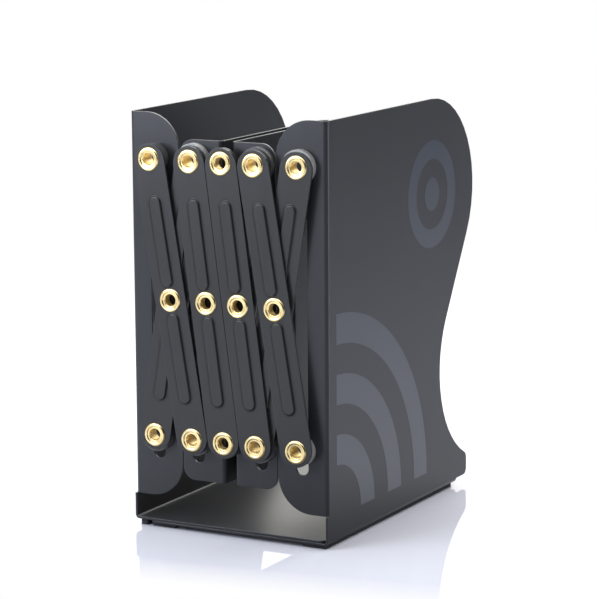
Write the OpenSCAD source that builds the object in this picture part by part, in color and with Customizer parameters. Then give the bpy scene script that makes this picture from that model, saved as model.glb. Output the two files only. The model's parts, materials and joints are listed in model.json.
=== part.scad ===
// Spine bookshelf: two bent sheet end frames joined by a four-bay scissor
// linkage, with two dividers that hang from the linkage between them.
// The shelf is drawn closed. X runs along the extension, Z is up, and the
// linkage faces -Y. The origin is at the centre of the space that the closed
// shelf takes, on the surface that it stands on. Sizes are in millimetres.

/* [End frames] */
// Height of the end walls above the surface
height = 196.6; // [190:0.2:225]
// Depth from the flange face to the back of the wall's shoulder
wall_depth = 153.5; // [145:0.5:175]
// Radius of the wall's upper back shoulder
shoulder_r = 46; // [30:1:55]
// Depth of the wall at its waist
waist_depth = 116.7; // [110:0.1:125]
// Height of the waist above the surface
waist_z = 61.6; // [58:0.2:72]
// Radius of the waist
waist_r = 51.3; // [35:0.1:55]
// Depth of the wall at its foot
foot_depth = 147.6; // [143:0.1:152]
// Radius of the foot's upper corner
foot_top_r = 4; // [2:0.5:6]
// Radius of the foot's lower corner
foot_low_r = 3; // [1:0.5:4]
// Sheet thickness of the end frames and dividers
sheet_t = 1; // [0.8:0.05:1.2]
// Outer radius of each bend in the sheet
bend_r = 2; // [1.6:0.1:2.6]
// How far the blank stands in front of the flange face below the flange
blank_proud = 0.9; // [0.2:0.1:1.5]
// Height of the flange's lower edge above the surface
flange_z = 15.6; // [11:0.2:22]
// Radius of the flange's free corners
flange_corner_r = 17; // [8:0.5:20]
// How much shallower the base plates are than the wall's foot
base_inset = 11.6; // [7:0.1:40]
// Corner radius of the upper base plate's free edge
upper_corner_r = 3; // [1:0.5:8]
// Corner radius of the lower base plate's free edge
lower_corner_r = 5; // [2:0.5:8]
// Clearance between the upper base plate's free edge and the far frame's bend
base_edge_gap = 0.1; // [0.05:0.05:1]
// Clearance between the two base plates, one above the other
base_gap = 0.2; // [0.1:0.05:0.5]

/* [Pads] */
// Thickness of the foam pads under the lower base plate
pad_t = 2; // [1.2:0.1:3]
// Width of the foam pads under the lower base plate
pad_w = 12; // [6:0.5:20]
// Width of the narrow foam strip beside the lower base plate
strip_w = 3.2; // [2:0.1:8]
// Clearance between the narrow strip and the lower base plate
strip_gap = 1.3; // [0.5:0.1:3]
// Distance from the ends of the base plate to the pads
pad_inset = 2; // [1:0.5:10]

/* [Linkage] */
// Width of each bar
bar_w = 16.4; // [13:0.2:18]
// Distance from an end pivot to the tip of the bar
bar_tip = 7.1; // [6.2:0.1:8.2]
// Thickness of each bar
bar_t = 1; // [0.8:0.05:1.2]
// Gap between neighbouring bars in the inner bays
bar_gap = 0.4; // [0.3:0.1:1.5]
// Width of each outer bay when closed
outer_bay = 21.2; // [20:0.2:26]
// Distance from the top of the end walls down to the upper pivots
pivot_drop = 21; // [14:0.5:24]
// Height of the lower pivots above the surface when closed
low_pivot_z = 45.7; // [38:0.1:55]
// Distance from the outer pivots to the outside of the end walls
pivot_inset = 13.45; // [12:0.05:18]
// Width of the embossed bead on each bar, at its foot
bead_w = 7; // [5:0.2:8]
// Width of the bead's flat crest
bead_crest_w = 4.6; // [2:0.2:5]
// Height of the embossed bead on each bar
bead_h = 0.8; // [0.5:0.05:0.85]
// Distance from an end pivot to the tip of the bead
bead_start = 16.75; // [12:0.25:24]
// Gap between the bead and the rim of the middle eyelet
bead_gap = 0.15; // [0.1:0.05:2]

/* [Eyelets] */
// Outer radius of the eyelet's shank
shank_r = 3; // [2.6:0.05:3.3]
// Wall of the hollow shank
shank_wall = 0.3; // [0.25:0.05:0.6]
// Radius of the domed front rim
rim_r = 5.5; // [5:0.1:6.2]
// Height of the domed front rim
rim_h = 0.8; // [0.6:0.05:0.95]
// Radius of the crest of the front rim
crest_r = 4.7; // [4:0.1:5]
// Depth below the bar's face at which the bell mouth meets the bore
mouth_depth = 0.5; // [0.3:0.05:0.7]
// Radius of the rolled back rim
roll_r = 4.6; // [4.4:0.05:5.2]
// Height of the rolled back rim
roll_h = 0.8; // [0.5:0.05:1]
// Radius of the washers between the bars
washer_r = 5.3; // [5:0.1:5.6]
// Thickness of the washers between the bars
washer_t = 0.95; // [0.9:0.05:1.4]
// How much smaller a spacer's radius is than the round end of a bar
spacer_step = 0.2; // [0.1:0.1:1]
// How much smaller still the radius of the thick spacers is
thick_step = 1; // [0.5:0.1:2]
// Thickness of the spacers between the rear bars and the flanges
spacer_t = 3.1; // [2:0.1:4]
// Clearance in each turning joint
play = 0.05; // [0.03:0.01:0.08]
// Clearance at the two lower pivots where an outer bay meets an inner bay
open_play = 0.8; // [0.75:0.05:1]

/* [Dividers] */
// Gap between the two divider walls when closed
centre_gap = 5; // [4.4:0.2:8]
// Distance from the divider's pivot to the flange's free edge
divider_reach = 8.2; // [7:0.1:9]
// Gap between the divider's flange and the end frame's flange when closed
stop_gap = 0.5; // [0.2:0.1:1]
// Height of the divider above its upper pivot
divider_head = 9.4; // [8:0.2:12]
// Length of the divider below its closed lower pivot
divider_tail = 20.6; // [15:0.1:22]
// How much shallower the divider walls are than the end walls
divider_inset = 12; // [6:0.5:30]
// Radius of the upper free corner of the divider flange
divider_top_r = 7; // [4:0.5:7]
// Radius of the lower free corner of the divider flange
divider_low_r = 6; // [3:0.5:7]

/* [Slots] */
// Clearance on each side of a shank in its slot
slot_play = 0.2; // [0.15:0.05:0.5]
// Length of slot below the closed lower pivot
slot_below = 8.8; // [4:0.1:11]
// Distance from the upper pivots down to the end of the slots
slot_drop = 25; // [22:0.5:50]

/* [Hidden] */
$fn = 64;
arc_steps = 14;
overrun = 1;
bead_steps = 5;
rim_steps = 8;
// Shortest straight run between two curves of a wall
least_run = 1;

// Places along the extension
inner_bay = bar_w + bar_gap;
pivot_xs = [-inner_bay - outer_bay, -inner_bay, 0, inner_bay, inner_bay + outer_bay];
half_w = inner_bay + outer_bay + pivot_inset;
spacer_r = bar_w / 2 - spacer_step;
thick_spacer_r = spacer_r - thick_step;
divider_edge = inner_bay + divider_reach;
flange_edge = divider_edge + stop_gap;
divider_face = centre_gap / 2;
lower_free_x = bend_r + strip_w + strip_gap - half_w;
upper_free_x = bend_r + base_edge_gap - half_w;

// Heights
top_z = height - pivot_drop;
column_h = top_z - low_pivot_z;
mid_z = low_pivot_z + column_h / 2;
divider_top = top_z + divider_head;
divider_low = low_pivot_z - divider_tail;
lower_base_z = pad_t;
upper_base_z = lower_base_z + sheet_t + base_gap;

// Layers of the linkage, from the flange face at zero towards the front
spacer_back = -play;
rear_back = spacer_back - spacer_t - play;
rear_face = rear_back - bar_t;
washer_back = rear_face - play;
front_back = washer_back - washer_t;
front_face = front_back - bar_t;
rim_face = front_face - rim_h;
plate_roll = sheet_t + play;
bar_roll = rear_back + play;

// Depth of the base plates behind the flange face
base_depth = foot_depth - base_inset;

// The middle of the closed shelf's depth
depth_shift = -(max(wall_depth, foot_depth) + rim_face) / 2;

// Holes and curves that follow from the sizes above
hole_r = shank_r + play;
slot_r = shank_r + slot_play;
bore_r = shank_r - shank_wall;

frame_colour = "#35363c";
bar_colour = "#3b3c43";
eyelet_colour = "#e3c878";
spacer_colour = "#8d8b86";
pad_colour = "#161618";

// Points of an arc about c from angle a to angle b
function arc(c, r, a, b, steps = arc_steps) =
    [for (i = [0:steps]) c + r * [cos(a + (b - a) * i / steps), sin(a + (b - a) * i / steps)]];

// Angle of the direction from p to q
function heading(p, q) = atan2(q[1] - p[1], q[0] - p[0]);

// Outline of a wall in depth and height. The round shoulder runs by a straight
// tangent into the hollow waist, and the waist runs out into the foot. The waist's
// radius is limited by the room that the shoulder and the foot leave for it.
function wall_outline(front, low, top, back, waist, foot, low_r) =
    let (shoulder = [back - shoulder_r, top - shoulder_r])
    let (rise = shoulder[1] - waist_z)
    let (over = waist - shoulder[0])
    let (clear_r = shoulder_r + least_run)
    let (shoulder_limit = (over * over + rise * rise - clear_r * clear_r) / (2 * (clear_r - over)))
    let (fall = waist_z - low - low_r - least_run)
    let (out = foot - foot_top_r - waist)
    let (foot_limit = (fall * fall + out * out - foot_top_r * foot_top_r) / (2 * (foot_top_r + out)))
    let (hollow_r = min(waist_r, shoulder_limit, foot_limit))
    let (hollow = [waist + hollow_r, waist_z])
    let (way = heading(shoulder, hollow) + acos((shoulder_r + hollow_r) / norm(hollow - shoulder)))
    let (reach = hollow_r + foot_top_r)
    let (knob_y = foot - foot_top_r)
    let (knob = [knob_y, waist_z - sqrt(reach * reach - pow(knob_y - hollow[0], 2))])
    let (into = heading(hollow, knob))
    concat([[front, low]],
        arc([foot - low_r, low + low_r], low_r, -90, 0),
        arc(knob, foot_top_r, 0, into + 180),
        arc(hollow, hollow_r, into + 360, way + 180),
        arc(shoulder, shoulder_r, way, 90),
        [[front, top]]);

// Outline of a plate with a square side at x = root and rounded corners at x = edge,
// for an edge on the side towards x = 0
function lip_outline(root, edge, low, top, low_r, top_r) =
    concat([[root, low], [root, top]],
        arc([edge + top_r, top - top_r], top_r, 90, 180),
        arc([edge + low_r, low + low_r], low_r, 180, 270));

// Outline of a slot between two heights, with round ends
function slot_outline(x, low, top, r) =
    concat(arc([x, top], r, 0, 180), arc([x, low], r, 180, 360));

// Points of a quarter of an ellipse about c from angle a to angle b
function quarter(c, across, up, a, b) =
    [for (i = [0:rim_steps]) let (t = a + (b - a) * i / rim_steps) c + [across * cos(t), up * sin(t)]];

// Outline of a bar that hangs from the origin, with round ends
function bar_outline(length) =
    let (end_y = bar_tip - bar_w / 2)
    concat(arc([0, end_y], bar_w / 2, 0, 180), arc([0, -length - end_y], bar_w / 2, 180, 360));

// One side of a bead's section, from its foot up to its crest in two equal curves
function bead_flank(foot, crest) =
    let (turn = 2 * atan(bead_h / (foot - crest)))
    let (r = (foot - crest) / (2 * sin(turn)))
    concat(arc([foot, r], r, -90, -90 - turn, bead_steps),
        arc([crest, bead_h - r], r, 90 - turn, 90, bead_steps));

function bay(i) = i == 1 || i == 4 ? outer_bay : inner_bay;
function bar_length(i) = norm([bay(i), column_h]);
function bar_lean(i) = atan(bay(i) / column_h);

// Moves the flange face to its place about the middle of the shelf's depth
module centred() translate([0, depth_shift, 0]) children();

// A sheet in a plane of X and Z whose back is at y = back
module upright_sheet(back, t)
    translate([0, back, 0]) rotate([90, 0, 0]) linear_extrude(t) children();

// A sheet in a plane of Y and Z that starts at x = side
module wall_sheet(side, t)
    translate([side, 0, 0]) rotate([90, 0, 90]) linear_extrude(t) children();

// A round hole through an upright sheet
module pivot_hole(x, z, r, back, t)
    translate([x, back + overrun, z]) rotate([90, 0, 0]) cylinder(r = r, h = t + 2 * overrun);

// A quarter bend, upright, from the flange into the wall on its right
module upright_bend(x, low, top)
    translate([x, bend_r, low]) rotate([0, 0, -90]) rotate_extrude(angle = 90)
        translate([bend_r - sheet_t, 0]) square([sheet_t, top - low]);

// A quarter bend, lying, from the base plate into the wall on its right
module lying_bend(x, z)
    translate([x, -blank_proud, z + bend_r]) rotate([-90, 0, 0]) rotate_extrude(angle = 90)
        translate([bend_r - sheet_t, 0]) square([sheet_t, base_depth + blank_proud]);

// The right-hand end frame, one bent sheet: wall, front flange and base plate
module end_frame(base_z, free_x, corner_r) {
    wall_x = half_w - sheet_t;
    bend_x = half_w - bend_r;
    wall_low = base_z + bend_r;
    pivot_x = pivot_xs[4];
    wall_sheet(wall_x, sheet_t) {
        polygon(wall_outline(bend_r, wall_low, height, wall_depth, waist_depth, foot_depth, foot_low_r));
        translate([-blank_proud, wall_low]) square([blank_proud + bend_r, flange_z - wall_low]);
    }
    upright_bend(bend_x, flange_z, height);
    lying_bend(bend_x, base_z);
    difference() {
        upright_sheet(sheet_t, sheet_t) difference() {
            polygon(lip_outline(bend_x, flange_edge, flange_z, height, flange_corner_r, flange_corner_r));
            polygon(slot_outline(pivot_x, low_pivot_z - slot_below, top_z - slot_drop, slot_r));
        }
        pivot_hole(pivot_x, top_z, hole_r, sheet_t, sheet_t);
    }
    translate([0, 0, base_z]) linear_extrude(sheet_t)
        polygon(lip_outline(bend_x, free_x, -blank_proud, base_depth, corner_r, corner_r));
}

// The upper base plate belongs to the left end and reaches to the right wall
module left_end_frame()
    color(frame_colour) centred() mirror([1, 0, 0])
        end_frame(upper_base_z, upper_free_x, upper_corner_r);

// The lower base plate belongs to the right end and stops short of the left wall
module right_end_frame()
    color(frame_colour) centred() end_frame(lower_base_z, lower_free_x, lower_corner_r);

// The right-hand divider: a flange that hangs on the linkage and a wall
module divider() {
    bend_x = divider_face + bend_r;
    pivot_x = pivot_xs[3];
    back = wall_depth - divider_inset;
    waist = waist_depth - divider_inset;
    foot = foot_depth - divider_inset;
    wall_sheet(divider_face, sheet_t) intersection() {
        polygon(wall_outline(bend_r, upper_base_z, divider_top, back, waist, foot, foot_low_r));
        translate([bend_r, divider_low]) square([wall_depth, divider_top - divider_low]);
    }
    mirror([1, 0, 0]) upright_bend(-bend_x, divider_low, divider_top);
    difference() {
        upright_sheet(sheet_t, sheet_t) difference() {
            mirror([1, 0, 0]) polygon(lip_outline(-bend_x, -divider_edge, divider_low, divider_top,
                divider_low_r, divider_top_r));
            polygon(slot_outline(pivot_x, low_pivot_z - slot_below, top_z - slot_drop, slot_r));
        }
        pivot_hole(pivot_x, top_z, hole_r, sheet_t, sheet_t);
    }
}

module left_divider() color(frame_colour) centred() mirror([1, 0, 0]) divider();
module right_divider() color(frame_colour) centred() divider();

// Half of a bead's section: across the bar, and out from its face
module half_bead(foot, crest, sunk)
    polygon(concat([[0, -sunk], [foot, -sunk]], bead_flank(foot, crest), [[0, bead_h]]));

// A bead down a bar between two heights, with round ends, on the face at y = face
module bead(top, low, face, foot, crest, sunk) {
    translate([0, face, low]) linear_extrude(top - low) mirror([0, 1]) {
        half_bead(foot, crest, sunk);
        mirror([1, 0]) half_bead(foot, crest, sunk);
    }
    for (end = [[top, 0], [low, 180]])
        translate([0, face, end[0]]) rotate([90, end[1], 0]) rotate_extrude(angle = 180)
            half_bead(foot, crest, sunk);
}

// A bar that hangs from the origin, with its back at y = back. Two beads are
// pressed out of it, hollow behind, between the middle eyelet and the ends.
module bar(length, back, low_hole_r) {
    face = back - bar_t;
    tip = bead_start + bead_w / 2;
    inner = length / 2 - rim_r - bead_gap - bead_w / 2;
    spans = [[-tip, -inner], [inner - length, tip - length]];
    difference() {
        union() {
            upright_sheet(back, bar_t) polygon(bar_outline(length));
            for (s = spans) bead(s[0], s[1], face, bead_w / 2, bead_crest_w / 2, bar_t / 2);
        }
        for (s = spans)
            bead(s[0], s[1], back, (bead_w - bar_t) / 2, (bead_crest_w - bar_t) / 2, overrun);
        pivot_hole(0, 0, hole_r, back, bar_t);
        pivot_hole(0, -length / 2, hole_r, back, bar_t);
        pivot_hole(0, -length, low_hole_r, back, bar_t);
    }
}

// Front bars run down to the right
module front_bar(i)
    color(bar_colour) centred() translate([pivot_xs[i - 1], 0, top_z]) rotate([0, -bar_lean(i), 0])
        bar(bar_length(i), front_back, hole_r);

// Rear bars run down to the left. Bars 2 and 4 meet the bay beside them in a wide hole.
module rear_bar(i)
    color(bar_colour) centred() translate([pivot_xs[i], 0, top_z]) rotate([0, bar_lean(i), 0])
        bar(bar_length(i), rear_back, i == 2 || i == 4 ? shank_r + open_play : hole_r);

// A hollow eyelet from its domed rim in front to its rolled rim behind
module eyelet(x, z, face, roll)
    color(eyelet_colour) centred() translate([x, face, z]) rotate([90, 0, 0]) {
        depth = roll - face;
        rotate_extrude() polygon(concat([[shank_r, 0], [shank_r, -depth], [bore_r, -depth]],
            quarter([crest_r, -mouth_depth], crest_r - bore_r, rim_h + mouth_depth, 180, 90),
            quarter([crest_r, 0], rim_r - crest_r, rim_h, 90, 0)));
        translate([0, 0, -depth - roll_h]) rotate_extrude() difference() {
            translate([bore_r, 0]) square([roll_r - bore_r, roll_h]);
            translate([roll_r, 0]) circle(r = roll_h / 2);
        }
    }

module top_eyelet(i)
    eyelet(pivot_xs[i], top_z, i == 4 ? rear_face : front_face, i == 2 ? bar_roll : plate_roll);

module middle_eyelet(i)
    eyelet((pivot_xs[i - 1] + pivot_xs[i]) / 2, mid_z, front_face, bar_roll);

module bottom_eyelet(i)
    eyelet(pivot_xs[i], low_pivot_z, i == 0 ? rear_face : front_face, i == 2 ? bar_roll : plate_roll);

// A plain ring round a shank, from y = back forwards
module ring(x, z, r, back, t)
    translate([x, back, z]) rotate([90, 0, 0]) difference() {
        cylinder(r = r, h = t);
        translate([0, 0, -overrun]) cylinder(r = hole_r, h = t + 2 * overrun);
    }

module washer(x, z) ring(x, z, washer_r, washer_back, washer_t);

// The washers that one front bar carries
module washers(i)
    color(spacer_colour) centred() {
        washer((pivot_xs[i - 1] + pivot_xs[i]) / 2, mid_z);
        if (i > 1) washer(pivot_xs[i - 1], top_z);
        if (i < 4) washer(pivot_xs[i], low_pivot_z);
    }

// A spacer between the bar whose back is at y = seat and the flange
module spacer(x, z, seat, r = spacer_r)
    color(spacer_colour) centred() ring(x, z, r, spacer_back, spacer_back - seat);

// A thick spacer, which also fills the layers of a bar that is missing
module thick_spacer(x, z) spacer(x, z, front_back, thick_spacer_r);

module top_spacer(i)
    if (i == 0) thick_spacer(pivot_xs[i], top_z);
    else spacer(pivot_xs[i], top_z, i == 4 ? rear_back : rear_back + play);

module bottom_spacer(i)
    if (i == 4) thick_spacer(pivot_xs[i], low_pivot_z);
    else spacer(pivot_xs[i], low_pivot_z, i == 0 ? rear_back : rear_back + play);

module pad(low_x, width, t)
    translate([low_x, pad_inset - blank_proud, 0])
        cube([width, base_depth + blank_proud - 2 * pad_inset, t]);

// A narrow strip under the upper base plate, beside the edge of the lower one
module left_foot_strip()
    color(pad_colour) centred() pad(bend_r - half_w, strip_w, upper_base_z);

// Two pads under the lower base plate
module right_foot_pads()
    color(pad_colour) centred() {
        pad(half_w - bend_r - pad_w, pad_w, lower_base_z);
        pad(lower_free_x + pad_inset, pad_w, lower_base_z);
    }

left_end_frame();
right_end_frame();
left_divider();
right_divider();
front_bar(1);  // front_bar_1
front_bar(2);  // front_bar_2
front_bar(3);  // front_bar_3
front_bar(4);  // front_bar_4
rear_bar(1);  // rear_bar_1
rear_bar(2);  // rear_bar_2
rear_bar(3);  // rear_bar_3
rear_bar(4);  // rear_bar_4
top_eyelet(0);  // top_eyelet_0
top_eyelet(1);  // top_eyelet_1
top_eyelet(2);  // top_eyelet_2
top_eyelet(3);  // top_eyelet_3
top_eyelet(4);  // top_eyelet_4
middle_eyelet(1);  // middle_eyelet_1
middle_eyelet(2);  // middle_eyelet_2
middle_eyelet(3);  // middle_eyelet_3
middle_eyelet(4);  // middle_eyelet_4
bottom_eyelet(0);  // bottom_eyelet_0
bottom_eyelet(1);  // bottom_eyelet_1
bottom_eyelet(2);  // bottom_eyelet_2
bottom_eyelet(3);  // bottom_eyelet_3
bottom_eyelet(4);  // bottom_eyelet_4
washers(1);  // washers_1
washers(2);  // washers_2
washers(3);  // washers_3
washers(4);  // washers_4
top_spacer(0);  // top_spacer_0
top_spacer(1);  // top_spacer_1
top_spacer(3);  // top_spacer_3
top_spacer(4);  // top_spacer_4
bottom_spacer(0);  // bottom_spacer_0
bottom_spacer(1);  // bottom_spacer_1
bottom_spacer(3);  // bottom_spacer_3
bottom_spacer(4);  // bottom_spacer_4
left_foot_strip();
right_foot_pads();
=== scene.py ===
"""An expanding metal book shelf, closed, on a glossy white floor.

The frame brings every metal and foam part at its real size. This script gives each of them its
finish, turns a finer eyelet in the place of each one of the frame, lays the printed film on the
right-hand wall, and sets up the floor, the lamps and the camera. Lengths are in metres, in the
frame's own axes: X along the extension, Z up, and the linkage faces -Y. Azimuths and elevations
are in degrees, with azimuth 0 in front and 90 on the right.
"""

from __future__ import annotations

import json
import logging
import math
from dataclasses import dataclass
from enum import Enum
from typing import Any, Mapping, Optional, Sequence, Union

import bmesh
import bpy
from mathutils import Matrix, Vector


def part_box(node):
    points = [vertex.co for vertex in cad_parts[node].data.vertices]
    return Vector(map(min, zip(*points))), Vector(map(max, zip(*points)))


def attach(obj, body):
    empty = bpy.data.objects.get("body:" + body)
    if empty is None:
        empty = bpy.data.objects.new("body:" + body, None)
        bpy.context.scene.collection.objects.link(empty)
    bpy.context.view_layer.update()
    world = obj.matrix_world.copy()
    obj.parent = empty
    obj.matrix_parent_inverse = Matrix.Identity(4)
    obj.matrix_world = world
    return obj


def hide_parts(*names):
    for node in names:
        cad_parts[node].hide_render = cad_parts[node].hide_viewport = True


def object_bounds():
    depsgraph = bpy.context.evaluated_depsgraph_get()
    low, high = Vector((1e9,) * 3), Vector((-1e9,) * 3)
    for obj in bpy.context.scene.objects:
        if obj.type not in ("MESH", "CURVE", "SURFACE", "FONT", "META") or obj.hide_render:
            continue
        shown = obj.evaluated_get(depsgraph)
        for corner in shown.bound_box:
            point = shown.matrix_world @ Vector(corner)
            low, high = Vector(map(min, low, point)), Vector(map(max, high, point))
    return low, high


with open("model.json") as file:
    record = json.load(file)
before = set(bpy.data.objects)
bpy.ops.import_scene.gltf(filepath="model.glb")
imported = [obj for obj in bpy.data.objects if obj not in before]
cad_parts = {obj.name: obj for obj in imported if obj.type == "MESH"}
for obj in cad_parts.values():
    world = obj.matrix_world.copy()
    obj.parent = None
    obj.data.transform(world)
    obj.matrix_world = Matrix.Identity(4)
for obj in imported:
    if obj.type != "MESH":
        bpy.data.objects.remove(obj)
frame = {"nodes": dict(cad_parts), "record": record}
cad_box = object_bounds()

log = logging.getLogger("book_shelf")

Colour = tuple[float, float, float]
Pair = tuple[float, float]
Triple = tuple[float, float, float]
Operand = Union["Signal", float, Sequence[float]]
Key = Union[int, str]
Settings = Mapping[str, Any]
Sockets = Mapping[Key, Operand]

MM = 0.001
FULL_TURN = 360.0
WHITE: Colour = (1.0, 1.0, 1.0)
FRONT: Triple = (0.0, -1.0, 0.0)
NOISE_REACH: Pair = (0.2, 0.8)
DARK_SPACERS = (
    "top_spacer_0",
    "top_spacer_3",
    "bottom_spacer_0",
    "bottom_spacer_1",
    "bottom_spacer_3",
)

# A Mix node has sockets for every kind of value, and these are the ones that mix colours
MIX_SHARE, MIX_LOW, MIX_HIGH, MIX_RESULT = 0, 6, 7, 2


class Body(Enum):
    """The moving bodies that this script hangs pieces on by name."""

    RIGHT_END = "right_end"


class Slot(Enum):
    """The record's material slots."""

    FRAME = "frame_steel"
    BAR = "bar_steel"
    EYELET = "eyelet_metal"
    SPACER = "spacer_metal"
    FOAM = "foot_foam"


def heading(azimuth: float, elevation: float) -> Triple:
    """The way from the shelf to a place in the studio.

    Args:
        azimuth: The place's azimuth.
        elevation: Its elevation.

    Returns:
        A direction of length 1.
    """
    around, above = math.radians(azimuth), math.radians(elevation)
    level = math.cos(above)
    return (math.sin(around) * level, -math.cos(around) * level, math.sin(above))


def scaled(tone: Colour, share: float) -> Colour:
    """A tone with each of its channels times a share."""
    return tuple(channel * share for channel in tone)


def put_in_scene(name: str, data: bpy.types.ID) -> bpy.types.Object:
    """Makes an object of a mesh, a light or a lens.

    Args:
        name: The object's name.
        data: What it shows.

    Returns:
        The object, linked to the scene.
    """
    item = bpy.data.objects.new(name, data)
    bpy.context.scene.collection.objects.link(item)
    return item


def finish_mesh(name: str, mesh: bmesh.types.BMesh) -> bpy.types.Mesh:
    """Turns a mesh's faces outwards and makes it Blender data.

    Args:
        name: The data's name.
        mesh: The mesh in work, which is freed.

    Returns:
        The data.
    """
    bmesh.ops.recalc_face_normals(mesh, faces=mesh.faces)
    data = bpy.data.meshes.new(name)
    mesh.to_mesh(data)
    mesh.free()
    return data


class Bench:
    """The nodes of one material or world."""

    def __init__(self, tree: bpy.types.NodeTree) -> None:
        """Empties a node tree to build in.

        Args:
            tree: The tree that the nodes go into.
        """
        tree.nodes.clear()
        self.tree = tree

    def place(
        self, kind: str, settings: Optional[Settings] = None, inputs: Optional[Sockets] = None
    ) -> bpy.types.Node:
        """Adds one node.

        Args:
            kind: The node's type name.
            settings: Its properties, which are set first.
            inputs: A value or a link for each of its sockets, by name or by place.

        Returns:
            The new node.
        """
        node = self.tree.nodes.new(kind)
        for name, value in (settings or {}).items():
            setattr(node, name, value)
        for key, value in (inputs or {}).items():
            if isinstance(value, Signal):
                self.tree.links.new(value.socket, node.inputs[key])
            else:
                node.inputs[key].default_value = value
        return node

    def add(
        self,
        kind: str,
        settings: Optional[Settings] = None,
        inputs: Optional[Sockets] = None,
        output: Key = 0,
    ) -> "Signal":
        """Adds one node and hands back one of its outputs.

        Args:
            kind: The node's type name.
            settings: Its properties.
            inputs: A value or a link for each of its sockets.
            output: The output that is wanted, by name or by place.

        Returns:
            That output, ready for shader maths.
        """
        return Signal(self, self.place(kind, settings, inputs).outputs[output])

    def place_of(self) -> "Signal":
        """The object's own coordinates, which ride with its body."""
        return self.add("ShaderNodeTexCoord", output="Object")

    def facing(self) -> "Signal":
        """The normal of the plain surface."""
        return self.add("ShaderNodeNewGeometry", output="Normal")

    def noise(self, at: "Signal", per_metre: float, detail: float = 2.0) -> "Signal":
        """Soft noise between 0 and 1.

        Args:
            at: The place to read it at.
            per_metre: How many blots fit in a metre.
            detail: How many finer layers lie on the first.

        Returns:
            The noise.
        """
        inputs = {"Vector": at, "Scale": per_metre, "Detail": detail}
        return self.add("ShaderNodeTexNoise", inputs=inputs)

    def waver(self, at: "Signal", per_metre: float, detail: float = 2.0) -> "Signal":
        """The same noise about 0, between -0.5 and 0.5."""
        return self.noise(at, per_metre, detail) - 0.5

    def relief(
        self, height: "Signal", depth: float, others: Optional[Sockets] = None
    ) -> "Signal":
        """The normal of a surface with fine bumps.

        Args:
            height: The bumps, between 0 and 1.
            depth: How deep they are.
            others: Values or links for the bump's other sockets.

        Returns:
            The normal.
        """
        inputs = {"Distance": depth, "Height": height, **(others or {})}
        return self.add("ShaderNodeBump", inputs=inputs)

    def blend(self, share: Operand, low: Operand, high: Operand) -> "Signal":
        """Mixes two colours.

        Args:
            share: 0 for the first colour, 1 for the second.
            low: The first colour.
            high: The second colour.

        Returns:
            The mixed colour.
        """
        inputs = {MIX_SHARE: share, MIX_LOW: self.full(low), MIX_HIGH: self.full(high)}
        return self.add("ShaderNodeMix", {"data_type": "RGBA"}, inputs, MIX_RESULT)

    @staticmethod
    def full(colour: Operand) -> Operand:
        """A colour with its alpha, or a signal as it is."""
        return colour if isinstance(colour, Signal) else (*colour, 1.0)

    def span(
        self, value: "Signal", low: float, high: float, start: float = 0.0, end: float = 1.0
    ) -> "Signal":
        """Maps a range of a value onto another and stops at its ends.

        Args:
            value: The value to map.
            low: Where the range starts.
            high: Where it ends.
            start: The result at low.
            end: The result at high.

        Returns:
            The mapped value.
        """
        ends = {"From Min": low, "From Max": high, "To Min": start, "To Max": end}
        return self.add("ShaderNodeMapRange", {"clamp": True}, {"Value": value, **ends})

    def part(self, vector: "Signal", axis: str) -> "Signal":
        """One component of a vector, by its letter."""
        return self.add("ShaderNodeSeparateXYZ", inputs={0: vector}, output=axis)


@dataclass(frozen=True)
class Signal:
    """An output of a node, with the operators that shader maths needs."""

    bench: Bench
    socket: bpy.types.NodeSocket

    def _join(self, operation: str, first: Operand, second: Operand) -> "Signal":
        """Joins two operands with a Math node, or with Vector Math where one is a vector.

        Args:
            operation: The node's operation.
            first: The left operand.
            second: The right operand.

        Returns:
            The result.
        """
        triples = any(isinstance(operand, (tuple, list)) for operand in (first, second))
        vector = triples or self.socket.type == "VECTOR"
        kind = "ShaderNodeVectorMath" if vector else "ShaderNodeMath"
        return self.bench.add(kind, {"operation": operation}, {0: first, 1: second})

    def __add__(self, other: Operand) -> "Signal":
        """self + other."""
        return self._join("ADD", self, other)

    __radd__ = __add__

    def __sub__(self, other: Operand) -> "Signal":
        """self - other."""
        return self._join("SUBTRACT", self, other)

    def __rsub__(self, other: Operand) -> "Signal":
        """other - self."""
        return self._join("SUBTRACT", other, self)

    def __mul__(self, other: Operand) -> "Signal":
        """self * other."""
        return self._join("MULTIPLY", self, other)

    __rmul__ = __mul__

    def dot_with(self, other: Operand) -> "Signal":
        """The dot product with another vector."""
        settings = {"operation": "DOT_PRODUCT"}
        return self.bench.add("ShaderNodeVectorMath", settings, {0: self, 1: other}, "Value")

    def length(self) -> "Signal":
        """The length of the vector."""
        return self.bench.add("ShaderNodeVectorMath", {"operation": "LENGTH"}, {0: self}, "Value")


@dataclass(frozen=True)
class Finish:
    """A surface finish, which becomes one material."""

    name: str

    def surface(self, bench: Bench) -> Sockets:
        """The values and links of the main shader's sockets.

        Args:
            bench: Where the nodes go.

        Returns:
            A value or a link for each socket.
        """
        raise NotImplementedError

    def make(self) -> bpy.types.Material:
        """Builds the material.

        Returns:
            The material, under the finish's name.
        """
        material = bpy.data.materials.new(self.name)
        material.use_nodes = True
        bench = Bench(material.node_tree)
        shader = bench.add("ShaderNodeBsdfPrincipled", inputs=self.surface(bench), output="BSDF")
        bench.place("ShaderNodeOutputMaterial", inputs={"Surface": shader})
        return material


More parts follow.
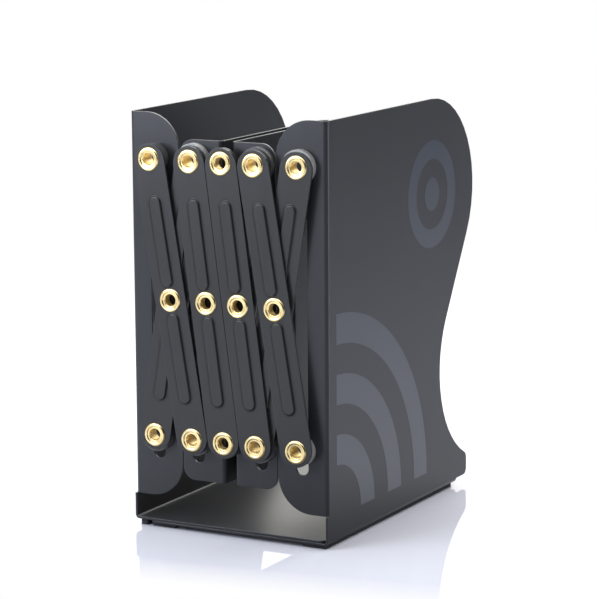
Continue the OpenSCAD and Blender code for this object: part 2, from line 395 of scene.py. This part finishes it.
@dataclass(frozen=True)
class PowderCoat(Finish):
    """Satin powder coat, with a faint orange peel, soft clouds and streaks, and polished edges with
    a painted highlight.

    Below foot_height the peel is flatter, and the coat has foot_roughness.
    """

    tone: Colour = (0.0215, 0.0225, 0.0260)
    dark_share: float = 0.5
    light_share: float = 1.9
    middle_tone: float = 0.36
    roughness: float = 0.31
    shine: float = 0.40
    foot_roughness: float = 0.33
    foot_peel: float = 0.25
    foot_height: Pair = (5.5 * MM, 7.5 * MM)
    cloud_scale: float = 22.0
    cloud_depth: float = 0.16
    cloud_roughness: float = 0.10
    streak_scale: Triple = (420.0, 420.0, 9.0)
    streak_depth: float = 0.14
    streak_roughness: float = 0.05
    fleck_scale: float = 2300.0
    fleck_range: Pair = (0.70, 0.80)
    fleck_depth: float = 0.05
    peel_scales: Pair = (1100.0, 3600.0)
    fine_peel: float = 0.35
    peel_height: float = 0.012 * MM
    # The edges' painted highlight: a paler tone, mixed in by the edge mask.
    painted_edge_highlight: Colour = (0.060, 0.061, 0.066)
    edge_highlight_share: float = 0.7
    edge_polish: float = 0.06
    edge_radius: float = 0.45 * MM
    edge_samples: int = 6
    edge_range: Pair = (0.995, 0.86)

    def edges(self, bench: Bench) -> tuple[Signal, Signal]:
        """Finds the sheet's rounded edges.

        Args:
            bench: Where the nodes go.

        Returns:
            The rounded normal, and a mask that is 1 on the edges, for their painted highlight and
            polish.
        """
        settings = {"samples": self.edge_samples}
        rounded = bench.add("ShaderNodeBevel", settings, {"Radius": self.edge_radius})
        return rounded, bench.span(rounded.dot_with(bench.facing()), *self.edge_range)

    def surface(self, bench: Bench) -> Sockets:
        """The coat's sockets.

        Args:
            bench: Where the nodes go.

        Returns:
            A value or a link for each socket.
        """
        at = bench.place_of()
        rounded, edge = self.edges(bench)
        cloud = bench.waver(at, self.cloud_scale, 3.0)
        streak = bench.waver(at * self.streak_scale, 1.0)
        fleck = bench.span(bench.noise(at, self.fleck_scale, 0.0), *self.fleck_range)
        lift = cloud * self.cloud_depth + streak * self.streak_depth + fleck * self.fleck_depth
        dark, light = (scaled(self.tone, share) for share in (self.dark_share, self.light_share))
        tone = bench.blend(lift + self.middle_tone, dark, light)
        uneven = cloud * self.cloud_roughness + streak * self.streak_roughness
        height = bench.part(at, "Z")
        base = bench.span(height, *self.foot_height, self.foot_roughness, self.roughness)
        coarse, fine = self.peel_scales
        peel = bench.noise(at, coarse) + bench.noise(at, fine, 1.0) * self.fine_peel
        peel = peel * bench.span(height, *self.foot_height, self.foot_peel, 1.0)
        return {
            # Painted highlight: the edge mask mixes a paler tone into the coat's colour.
            "Base Color": bench.blend(edge * self.edge_highlight_share, tone, self.painted_edge_highlight),
            "Roughness": uneven - edge * self.edge_polish + base,
            "Normal": bench.relief(peel, self.peel_height, {"Strength": 1.0, "Normal": rounded}),
            "Specular IOR Level": self.shine,
        }


@dataclass(frozen=True)
class BeadedCoat(PowderCoat):
    """The coat on the bars: neutral, with painted shade, dark and dull, in the creases round their
    beads.
    """

    tone: Colour = (0.0210, 0.0212, 0.0215)
    roughness: float = 0.32
    # Painted shade: a near-black, metallic tone in the creases, found by ambient occlusion.
    painted_crease_tone: Colour = (0.003, 0.003, 0.004)
    crease_reach: float = 1.6 * MM
    crease_samples: int = 8
    crease_range: Pair = (0.985, 0.78)
    crease_dullness: float = 0.20
    crease_shade_metal: float = 0.7

    def painted_crease_shade(self, bench: Bench) -> Signal:
        """Finds the bar's inner corners, where shade is painted.

        Args:
            bench: Where the nodes go.

        Returns:
            A mask of the painted shade, 1 in the corners.
        """
        settings = {"samples": self.crease_samples, "only_local": True}
        inputs = {"Distance": self.crease_reach}
        open_air = bench.add("ShaderNodeAmbientOcclusion", settings, inputs, "AO")
        return bench.span(open_air, *self.crease_range)

    def surface(self, bench: Bench) -> Sockets:
        """The coat's sockets, with painted shade in the creases.

        Args:
            bench: Where the nodes go.

        Returns:
            A value or a link for each socket.
        """
        sockets = dict(super().surface(bench))
        painted_crease_shade = self.painted_crease_shade(bench)
        # Painted shade: the creases turn near-black and metallic, so they lose their diffuse light.
        sockets["Base Color"] = bench.blend(painted_crease_shade, sockets["Base Color"], self.painted_crease_tone)
        sockets["Roughness"] = sockets["Roughness"] + painted_crease_shade * self.crease_dullness
        sockets["Metallic"] = painted_crease_shade * self.crease_shade_metal
        return sockets


@dataclass(frozen=True)
class PrintedFilm(Finish):
    """Smooth blue-grey ink, thin over the coat and paler towards the foot."""

    high_tone: Colour = (0.030, 0.038, 0.055)
    low_tone: Colour = (0.080, 0.088, 0.100)
    low_z: float = 0.01
    high_z: float = 0.19
    roughness: float = 0.30
    cloud_scale: float = 35.0
    cloud_depth: float = 0.10
    cloud_roughness: float = 0.06
    peel_scale: float = 1300.0
    peel_height: float = 0.006 * MM

    def surface(self, bench: Bench) -> Sockets:
        """The ink's sockets.

        Args:
            bench: Where the nodes go.

        Returns:
            A value or a link for each socket.
        """
        at = bench.place_of()
        cloud = bench.waver(at, self.cloud_scale, 3.0)
        rise = bench.span(bench.part(at, "Z"), self.low_z, self.high_z)
        share = rise + cloud * self.cloud_depth
        return {
            "Base Color": bench.blend(share, self.low_tone, self.high_tone),
            "Roughness": cloud * self.cloud_roughness + self.roughness,
            "Normal": bench.relief(bench.noise(at, self.peel_scale), self.peel_height),
        }


@dataclass(frozen=True)
class PolishedGold(Finish):
    """Pale gold plate, with fine turning marks, a few duller patches and dull bores."""

    tone: Colour = (0.97, 0.79, 0.40)
    deep_tone: Colour = (0.86, 0.63, 0.27)
    deep_range: Pair = (0.45, 0.8)
    roughness: Pair = (0.16, 0.28)
    patch_scale: float = 260.0
    bore_facing: Pair = (0.60, 0.15)
    bore_dullness: float = 0.34
    mark_scale: Triple = (900.0, 5200.0, 900.0)
    mark_height: float = 0.003 * MM

    def surface(self, bench: Bench) -> Sockets:
        """The plate's sockets.

        Args:
            bench: Where the nodes go.

        Returns:
            A value or a link for each socket.
        """
        at = bench.place_of()
        patch = bench.noise(at, self.patch_scale, 3.0)
        marks = bench.noise(at * self.mark_scale, 1.0, 1.0)
        bore = bench.span(bench.facing().dot_with(FRONT), *self.bore_facing)
        deep = bench.span(patch, *self.deep_range)
        rim = bench.span(patch, *NOISE_REACH, *self.roughness)
        return {
            "Base Color": bench.blend(deep, self.tone, self.deep_tone),
            "Metallic": 1.0,
            "Roughness": rim + bore * self.bore_dullness,
            "Normal": bench.relief(marks, self.mark_height),
        }


@dataclass(frozen=True)
class SatinRing(Finish):
    """Dull pale plate on the spacers and washers, with marks from the lathe."""

    tone: Colour = (0.36, 0.36, 0.345)
    metal: float = 0.25
    stain_scale: float = 300.0
    stain_range: Pair = (0.4, 0.75)
    stain_share: float = 0.7
    roughness: Pair = (0.34, 0.48)
    mark_scale: Triple = (500.0, 6000.0, 500.0)
    mark_height: float = 0.006 * MM

    def surface(self, bench: Bench) -> Sockets:
        """The ring's sockets.

        Args:
            bench: Where the nodes go.

        Returns:
            A value or a link for each socket.
        """
        at = bench.place_of()
        marks = bench.noise(at * self.mark_scale, 1.0)
        stain = bench.noise(at, self.stain_scale, 3.0)
        dull = scaled(self.tone, self.stain_share)
        return {
            "Base Color": bench.blend(bench.span(stain, *self.stain_range), self.tone, dull),
            "Metallic": self.metal,
            "Roughness": bench.span(stain, *NOISE_REACH, *self.roughness),
            "Normal": bench.relief(marks, self.mark_height),
        }


@dataclass(frozen=True)
class FoamRubber(Finish):
    """Matt black foam with open cells on its cut sides."""

    tone: Colour = (0.012, 0.012, 0.013)
    pale_share: float = 3.0
    roughness: Pair = (0.82, 0.98)
    cell_scale: float = 1500.0
    cell_range: Pair = (0.1, 0.7)
    cell_height: float = 0.15 * MM

    def surface(self, bench: Bench) -> Sockets:
        """The foam's sockets.

        Args:
            bench: Where the nodes go.

        Returns:
            A value or a link for each socket.
        """
        at = bench.place_of()
        cells = bench.add("ShaderNodeTexVoronoi", inputs={"Vector": at, "Scale": self.cell_scale})
        pale = scaled(self.tone, self.pale_share)
        return {
            "Base Color": bench.blend(bench.span(cells, *self.cell_range), self.tone, pale),
            "Roughness": bench.span(cells, 0.0, 1.0, *self.roughness),
            "Normal": bench.relief(cells, self.cell_height),
        }


@dataclass(frozen=True)
class Eyelet:
    """One hollow eyelet: a domed rim, a ledge in its mouth, the bore and the back roll."""

    node: str
    body: str
    rim: float = 5.5 * MM
    crest: float = 4.6 * MM
    rim_height: float = 0.8 * MM
    ledge: Pair = (3.15 * MM, 3.75 * MM)
    ledge_height: Pair = (0.25 * MM, 0.30 * MM)
    bore: float = 2.7 * MM
    shank: float = 3.0 * MM
    mouth_depth: float = 0.5 * MM
    roll: float = 4.6 * MM
    roll_round: float = 0.4 * MM
    round_steps: int = 8
    turn_steps: int = 72
    sharp_angle: float = 50.0

    def arc(
        self, centre: Pair, across: float, along: float, start: float, end: float
    ) -> list[Pair]:
        """Points of an elliptical arc in the section.

        Args:
            centre: Its centre, as radius and depth.
            across: Its half width.
            along: Its half depth.
            start: The angle of its first point, with 0 outwards and 90 to the back.
            end: The angle of its last point.

        Returns:
            The points, as radius and depth.
        """
        points = []
        for i in range(self.round_steps + 1):
            turn = math.radians(start + (end - start) * i / self.round_steps)
            points.append((centre[0] + across * math.cos(turn), centre[1] + along * math.sin(turn)))
        return points

    def section(self, front: float, back: float) -> list[Pair]:
        """The outline of the metal on one side of the axis.

        Args:
            front: The depth of the rim's crest.
            back: The depth of the back roll's end.

        Returns:
            The closed outline, as radius and depth.
        """
        face = front + self.rim_height
        inner, outer = self.ledge
        low, high = self.ledge_height
        small = self.roll_round
        mouth = (self.crest - outer, self.rim_height - high)
        throat = (inner - self.bore, self.mouth_depth + low)
        return [
            (self.shank, face),
            *self.arc((self.crest, face), self.rim - self.crest, self.rim_height, 0.0, -90.0),
            *self.arc((self.crest, face - high), *mouth, -90.0, -180.0)[1:],
            *self.arc((inner, face + self.mouth_depth), *throat, -90.0, -180.0),
            *self.arc((self.bore + small, back - small), small, small, 180.0, 90.0),
            *self.arc((self.roll - small, back - small), small, small, 90.0, -90.0),
            (self.shank, back - 2 * small),
        ]

    def turned(self) -> bmesh.types.BMesh:
        """Turns the section about the node's own axis.

        Returns:
            The closed mesh.
        """
        low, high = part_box(self.node)
        middle = (low + high) / 2
        outline = self.section(low.y, high.y)
        mesh = bmesh.new()
        rings = []
        for i in range(self.turn_steps):
            turn = 2 * math.pi * i / self.turn_steps
            x, z = math.cos(turn), math.sin(turn)
            corners = [(middle.x + r * x, y, middle.z + r * z) for r, y in outline]
            rings.append([mesh.verts.new(corner) for corner in corners])
        for i, ring in enumerate(rings):
            following = rings[(i + 1) % self.turn_steps]
            for k in range(len(outline)):
                n = (k + 1) % len(outline)
                mesh.faces.new([ring[k], ring[n], following[n], following[k]])
        return mesh

    def build(self, material: bpy.types.Material) -> bpy.types.Object:
        """Makes the eyelet and puts it in its node's place.

        Args:
            material: The plate.

        Returns:
            The eyelet.
        """
        name = f"turned_{self.node}"
        data = finish_mesh(name, self.turned())
        data.shade_smooth()
        data.set_sharp_from_angle(angle=math.radians(self.sharp_angle))
        data.materials.append(material)
        eyelet = put_in_scene(name, data)
        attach(eyelet, self.body)
        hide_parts(self.node)
        return eyelet


class Dresser:
    """Gives the frame's parts their finishes by material slot, and turns the eyelets."""

    def __init__(self) -> None:
        """Builds one material for each slot of the record."""
        self.materials = {
            Slot.FRAME: PowderCoat("frame_coat").make(),
            Slot.BAR: BeadedCoat("bar_coat").make(),
            Slot.EYELET: PolishedGold("eyelet_gold").make(),
            Slot.SPACER: SatinRing("spacer_satin").make(),
            Slot.FOAM: FoamRubber("foot_foam").make(),
        }
        self.dark_ring = SatinRing("spacer_dark", tone=(0.10, 0.10, 0.10)).make()

    def dress(self) -> None:
        """Puts each part's finish on it."""
        for row in frame["record"]["subparts"]:
            part = frame["nodes"][row["node"]]
            slot = Slot(row["material_slot"])
            dark = part.name in DARK_SPACERS
            part.data.materials.clear()
            part.data.materials.append(self.dark_ring if dark else self.materials[slot])
            log.info("dressed %s as %s", part.name, slot.value)

    def turn_eyelets(self) -> None:
        """Puts a finely turned eyelet in the place of each one of the frame."""
        for body, nodes in frame["record"]["behaviour"]["bodies"].items():
            for node in nodes:
                if "eyelet" in node:
                    eyelet = Eyelet(node, body).build(self.materials[Slot.EYELET])
                    log.info("turned %s on %s", eyelet.name, body)


@dataclass(frozen=True)
class ArcBand:
    """One band of the print: part of a ring, in the wall's own plane."""

    centre: Pair
    inner: float
    outer: float
    end: float = FULL_TURN

    def rim(self, radius: float, steps: int) -> list[Pair]:
        """Points along the band at one radius.

        Args:
            radius: Distance from the centre.
            steps: How many equal steps the arc has.

        Returns:
            The points, as depth and height.
        """
        across, up = self.centre
        turns = [math.radians(self.end * i / steps) for i in range(steps + 1)]
        return [(across + radius * math.cos(t), up + radius * math.sin(t)) for t in turns]


@dataclass(frozen=True)
class WallPrint:
    """The film outside the right-hand wall: rings at the shoulder and arcs from the foot."""

    thickness: float = 0.04 * MM
    step_length: float = 1.2 * MM
    least_steps: int = 24
    foot_centre: Pair = (9.0 * MM, 14.0 * MM)
    foot_sweep: float = 90.0
    foot_bands: tuple[Pair, ...] = (
        (24.0 * MM, 38.0 * MM),
        (52.0 * MM, 66.0 * MM),
        (80.0 * MM, 94.0 * MM),
    )
    shoulder_radius: float = 46.0 * MM
    shoulder_bands: tuple[Pair, ...] = ((0.0 * MM, 8.0 * MM), (17.0 * MM, 26.0 * MM))

    def bands(self, low: Vector, high: Vector) -> list[ArcBand]:
        """Lays the bands out on the wall.

        Args:
            low: The end frame's lowest corner.
            high: Its highest corner.

        Returns:
            The bands, in the wall's plane.
        """
        foot = (low.y + self.foot_centre[0], self.foot_centre[1])
        shoulder = (high.y - self.shoulder_radius, high.z - self.shoulder_radius)
        arcs = [ArcBand(foot, *radii, self.foot_sweep) for radii in self.foot_bands]
        rings = [ArcBand(shoulder, *radii) for radii in self.shoulder_bands]
        return arcs + rings

    def build(self, finish: Finish) -> bpy.types.Object:
        """Makes the film and lays it on the wall.

        Args:
            finish: The ink.

        Returns:
            The film.
        """
        low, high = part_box("right_end_frame")
        mesh = bmesh.new()
        for band in self.bands(low, high):
            self._add_band(mesh, band, high.x)
        data = finish_mesh("wall_print", mesh)
        data.materials.append(finish.make())
        film = put_in_scene("wall_print", data)
        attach(film, Body.RIGHT_END.value)
        return film

    def _add_band(self, mesh: bmesh.types.BMesh, band: ArcBand, wall_x: float) -> None:
        """Adds one band as a thin closed solid.

        Args:
            mesh: The mesh to add it to.
            band: Its place and size.
            wall_x: Where the wall's outside lies.
        """
        length = band.outer * math.radians(band.end)
        steps = max(self.least_steps, round(length / self.step_length))
        whole = band.end == FULL_TURN
        layers = []
        for x in (wall_x, wall_x + self.thickness):
            rims = [band.rim(radius, steps) for radius in (band.outer, band.inner) if radius > 0.0]
            kept = slice(0, -1) if whole else slice(None)
            layers.append([[mesh.verts.new((x, *point)) for point in rim[kept]] for rim in rims])
        near, far = layers
        for one, other in zip(near, far):
            self._add_wall(mesh, one, other, whole)
        for rims in layers:
            if len(rims) == 1:
                mesh.faces.new(rims[0])
            else:
                self._add_wall(mesh, *rims, whole)
        if not whole:
            for end in (0, -1):
                mesh.faces.new([near[0][end], near[1][end], far[1][end], far[0][end]])

    @staticmethod
    def _add_wall(mesh: bmesh.types.BMesh, one: Sequence, other: Sequence, closed: bool) -> None:
        """Joins two rows of corners with faces.

        Args:
            mesh: The mesh to add them to.
            one: The first row.
            other: The second row, of the same length.
            closed: Whether the rows run round.
        """
        count = len(one)
        for i in range(count if closed else count - 1):
            k = (i + 1) % count
            mesh.faces.new([one[i], one[k], other[k], other[i]])


@dataclass(frozen=True)
class GlossyFloor:
    """White glossy acrylic, which mirrors the shelf faintly.

    It burns out to plain white further off and in front, and in gloss alone it has a painted shade
    by the right foot: a dark pool that glows dimly.
    """

    side: float = 14.0
    tone: Colour = (0.72, 0.725, 0.79)
    roughness: float = 0.03
    ior: float = 1.5
    white_far: Pair = (0.35, 0.90)
    front_way: Triple = (0.15, -0.99, 0.0)
    white_front: Pair = (0.118, 0.152)
    # Painted shade: a dim glowing pool by the right foot, seen only in reflections.
    painted_shade_centre: Triple = (0.055, -0.120, 0.0)
    painted_shade_pool: Pair = (0.05, 0.18)
    painted_shade_tone: Colour = (0.20, 0.20, 0.22)

    @staticmethod
    def glow(bench: Bench, tone: Colour) -> Signal:
        """A plain tone that needs no light."""
        return bench.add("ShaderNodeEmission", inputs={"Color": (*tone, 1.0), "Strength": 1.0})

    def material(self) -> bpy.types.Material:
        """Builds the acrylic.

        Returns:
            The material.
        """
        material = bpy.data.materials.new("white_acrylic")
        material.use_nodes = True
        bench = Bench(material.node_tree)
        sockets = {"Base Color": (*self.tone, 1.0), "Roughness": self.roughness, "IOR": self.ior}
        acrylic = bench.add("ShaderNodeBsdfPrincipled", inputs=sockets, output="BSDF")
        # The dull glow is the painted shade of the pool.
        white, dull = self.glow(bench, WHITE), self.glow(bench, self.painted_shade_tone)
        at = bench.place_of()
        rays = bench.place("ShaderNodeLightPath").outputs
        seen, mirror = (Signal(bench, rays[name]) for name in ("Is Camera Ray", "Is Glossy Ray"))
        far = bench.span(at.length(), *self.white_far)
        burnt = far + bench.span(at.dot_with(self.front_way), *self.white_front)
        # Painted shade: in gloss only, a dim glow near the right foot darkens what mirrors it.
        painted_shade_pool = bench.span((at - self.painted_shade_centre).length(), *self.painted_shade_pool, 1.0, 0.0) * mirror
        with_painted_shade = bench.add("ShaderNodeMixShader", inputs={0: painted_shade_pool, 1: acrylic, 2: dull})
        shader = bench.add("ShaderNodeMixShader", inputs={0: burnt * seen, 1: with_painted_shade, 2: white})
        bench.place("ShaderNodeOutputMaterial", inputs={"Surface": shader})
        return material

    def build(self) -> bpy.types.Object:
        """Makes the floor.

        Returns:
            The floor.
        """
        half = self.side / 2
        data = bpy.data.meshes.new("studio_floor")
        corners = [(-half, -half, 0.0), (half, -half, 0.0), (half, half, 0.0), (-half, half, 0.0)]
        data.from_pydata(corners, [], [(0, 1, 2, 3)])
        data.materials.append(self.material())
        floor = put_in_scene("studio_floor", data)
        return floor


@dataclass(frozen=True)
class Softbox:
    """One square studio lamp."""

    name: str
    azimuth: float
    elevation: float
    distance: float
    side: float
    power: float
    tint: Colour = WHITE

    def build(self, target: Vector) -> bpy.types.Object:
        """Makes the lamp.

        Args:
            target: The point that it faces.

        Returns:
            The lamp.
        """
        light = bpy.data.lights.new(self.name, "AREA")
        light.shape = "SQUARE"
        light.size = self.side
        light.energy = self.power
        light.color = self.tint
        away = Vector(heading(self.azimuth, self.elevation))
        lamp = put_in_scene(self.name, light)
        lamp.location = target + away * self.distance
        lamp.rotation_mode = "QUATERNION"
        lamp.rotation_quaternion = away.to_track_quat("Z", "Y")
        return lamp


@dataclass(frozen=True)
class Zone:
    """A soft round part of the surround, as gloss shows it, between two angles from its middle."""

    azimuth: float
    elevation: float
    core: float
    edge: float
    tone: Colour

    def share(self, way: Signal) -> Signal:
        """How far a direction lies in the zone.

        Args:
            way: The direction.

        Returns:
            1 in the core, and 0 past the edge.
        """
        near, far = (math.cos(math.radians(angle)) for angle in (self.core, self.edge))
        return way.bench.span(way.dot_with(heading(self.azimuth, self.elevation)), far, near)


@dataclass(frozen=True)
class Studio:
    """The room: a white surround with dark and dim parts in its gloss, soft lamps and the floor."""

    ambient: Colour = (0.55, 0.57, 0.62)
    dim_side: Triple = (0.90, 0.43, 0.0)
    dim_range: Pair = (0.15, 0.80)
    dim_tone: Colour = (0.30, 0.30, 0.31)
    zones: tuple[Zone, ...] = (
        Zone(-35.0, 0.0, 15.0, 45.0, (0.79, 0.80, 0.85)),
        Zone(48.0, 8.0, 42.0, 54.0, (0.02, 0.02, 0.025)),
        Zone(158.0, 0.0, 18.0, 36.0, (0.09, 0.09, 0.095)),
        Zone(-115.0, 5.0, 22.0, 40.0, (0.05, 0.05, 0.055)),
        Zone(118.0, 8.0, 5.0, 14.0, (7.5, 7.5, 7.7)),
        Zone(206.0, 12.0, 27.0, 43.0, (1.78, 1.75, 1.67)),
        Zone(170.0, 30.0, 10.0, 20.0, (3.6, 3.6, 3.5)),
    )
    lamps: tuple[Softbox, ...] = (
        Softbox("key_lamp", -34.0, 34.0, 0.75, 0.45, 2.4, (0.93, 0.96, 1.0)),
        Softbox("front_lamp", -32.0, 17.0, 0.62, 0.25, 1.4, (0.80, 0.87, 1.0)),
        Softbox("top_lamp", 120.0, 78.0, 0.90, 1.20, 11.0),
        Softbox("rim_lamp", 200.0, 40.0, 1.3, 0.60, 4.0),
    )

    def build(self) -> None:
        """Makes the room."""
        self._make_world()
        GlossyFloor().build()
        centre = (cad_box[0] + cad_box[1]) / 2
        for lamp in self.lamps:
            lamp.build(centre)
            log.info("lit by %s", lamp.name)

    def _make_world(self) -> None:
        """White to the camera, zoned in reflections, and a softer light on the parts."""
        world = bpy.data.worlds.new("white_surround")
        world.use_nodes = True
        bpy.context.scene.world = world
        bench = Bench(world.node_tree)
        rays = bench.place("ShaderNodeLightPath").outputs
        kinds = ("Is Camera Ray", "Is Glossy Ray", "Is Transmission Ray")
        camera, mirror, through = (Signal(bench, rays[kind]) for kind in kinds)
        way = bench.add("ShaderNodeTexCoord", output="Generated")
        shown: Operand = WHITE
        for zone in self.zones:
            shown = bench.blend(zone.share(way), shown, zone.tone)
        dim = bench.span(way.dot_with(self.dim_side), *self.dim_range)
        room = bench.blend(mirror, bench.blend(dim, self.ambient, self.dim_tone), shown)
        colour = bench.blend(camera + through, room, WHITE)
        shade = bench.add("ShaderNodeBackground", inputs={"Color": colour, "Strength": 1.0})
        bench.place("ShaderNodeOutputWorld", inputs={"Surface": shade})


@dataclass(frozen=True)
class Viewpoint:
    """The camera, fitted to corners and eyelets of the photographed shelf."""

    place: Triple = (609.34 * MM, -1123.20 * MM, 328.95 * MM)
    azimuth: float = 28.614
    elevation: float = 10.135
    roll: float = -0.362
    lens: float = 161.79
    sensor: float = 36.0
    near: float = 0.05
    far: float = 60.0

    def build(self) -> bpy.types.Object:
        """Makes the camera and hands the scene to it.

        Returns:
            The camera.
        """
        around, tilt = math.radians(self.azimuth), math.radians(self.roll)
        back = Vector(heading(self.azimuth, self.elevation))
        right = Vector((math.cos(around), math.sin(around), 0.0))
        up = back.cross(right)
        rolled_right = math.cos(tilt) * right + math.sin(tilt) * up
        rolled_up = math.cos(tilt) * up - math.sin(tilt) * right
        lens = bpy.data.cameras.new("view_camera")
        lens.lens = self.lens
        lens.sensor_width = self.sensor
        lens.sensor_fit = "AUTO"
        lens.clip_start = self.near
        lens.clip_end = self.far
        camera = put_in_scene("view_camera", lens)
        axes = Matrix((rolled_right, rolled_up, back)).transposed().to_4x4()
        camera.matrix_world = Matrix.Translation(Vector(self.place)) @ axes
        bpy.context.scene.camera = camera
        return camera


def main() -> None:
    """Builds the scene in order."""
    logging.basicConfig(level=logging.INFO, format="%(message)s")
    bpy.context.scene.view_settings.view_transform = "Standard"
    Viewpoint().build()
    Studio().build()
    dresser = Dresser()
    dresser.dress()
    dresser.turn_eyelets()
    film = WallPrint().build(PrintedFilm("blue_grey_ink"))
    log.info("laid %s", film.name)


if __name__ == "__main__":
    main()
